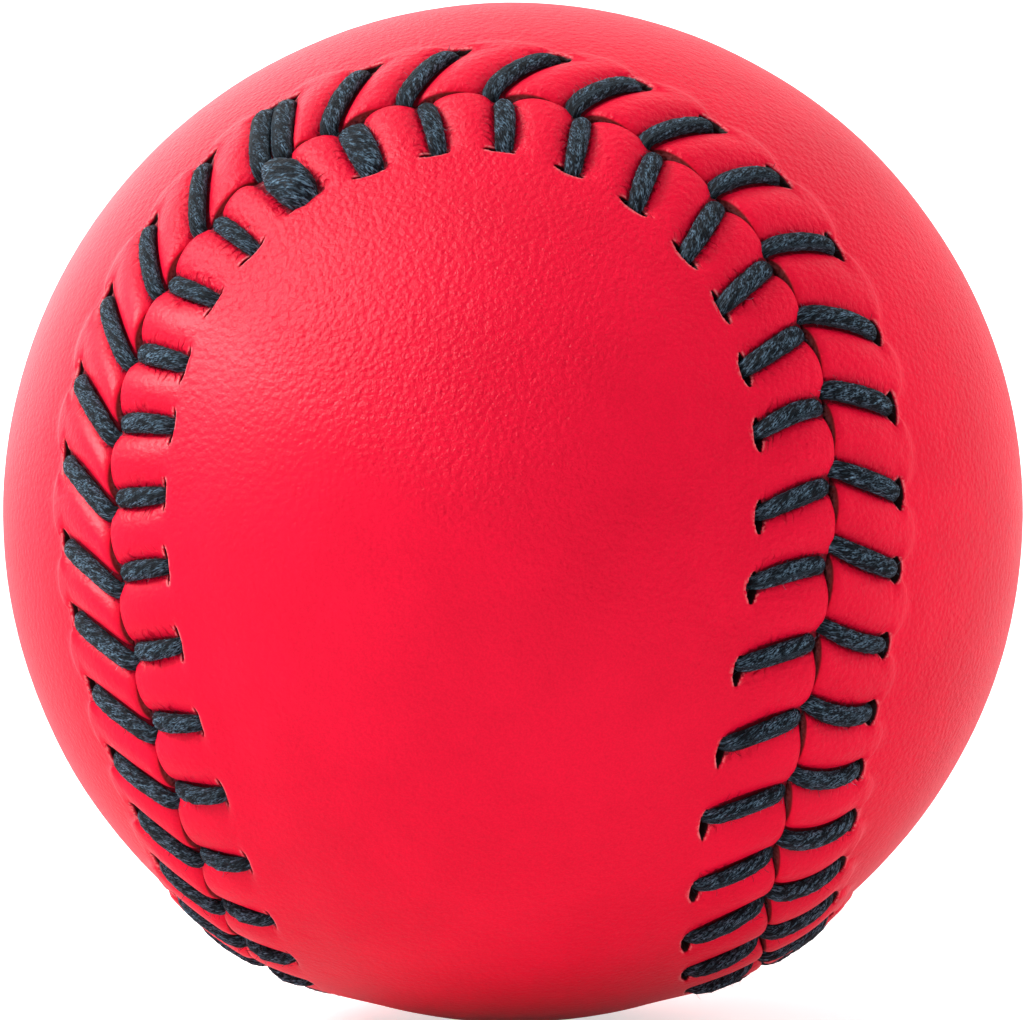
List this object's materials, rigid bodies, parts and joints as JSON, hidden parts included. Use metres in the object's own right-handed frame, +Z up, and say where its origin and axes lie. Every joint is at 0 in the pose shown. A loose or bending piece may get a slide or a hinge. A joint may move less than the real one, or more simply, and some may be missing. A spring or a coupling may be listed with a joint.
{
  "type": "rounders ball",
  "caption": "Round leather rounders ball with interlocking dumbbell-shaped panels, a raised V-stitched seam and a wound core, for bowling, hitting and catching.",
  "frame": {"origin": "centre of the ball", "axes": "-Y towards the lobe of the front panel that the picture shows, +Z up through the waist of the rear panel, +X through a lobe of the rear panel"},
  "size_m": [0.0603, 0.0604, 0.0604],
  "materials": {
    "cork_rubber": "cork bound in rubber, matt",
    "wool_yarn": "wound wool yarn, matt",
    "cotton_yarn": "fine wound cotton yarn, matt",
    "front_leather": "red dyed and waxed leather, satin",
    "rear_leather": "red dyed and waxed leather, satin",
    "first_waxed_thread": "dark waxed thread",
    "second_waxed_thread": "dark waxed thread",
    "knot_waxed_thread": "dark waxed thread, tied off"
  },
  "bodies": {
    "root": {"core_pill": "cork_rubber", "inner_winding": "wool_yarn", "outer_winding": "cotton_yarn", "front_cover_panel": "front_leather", "rear_cover_panel": "rear_leather", "first_thread": "first_waxed_thread", "second_thread": "second_waxed_thread", "finishing_knot": "knot_waxed_thread"}
  },
  "joints": []
}
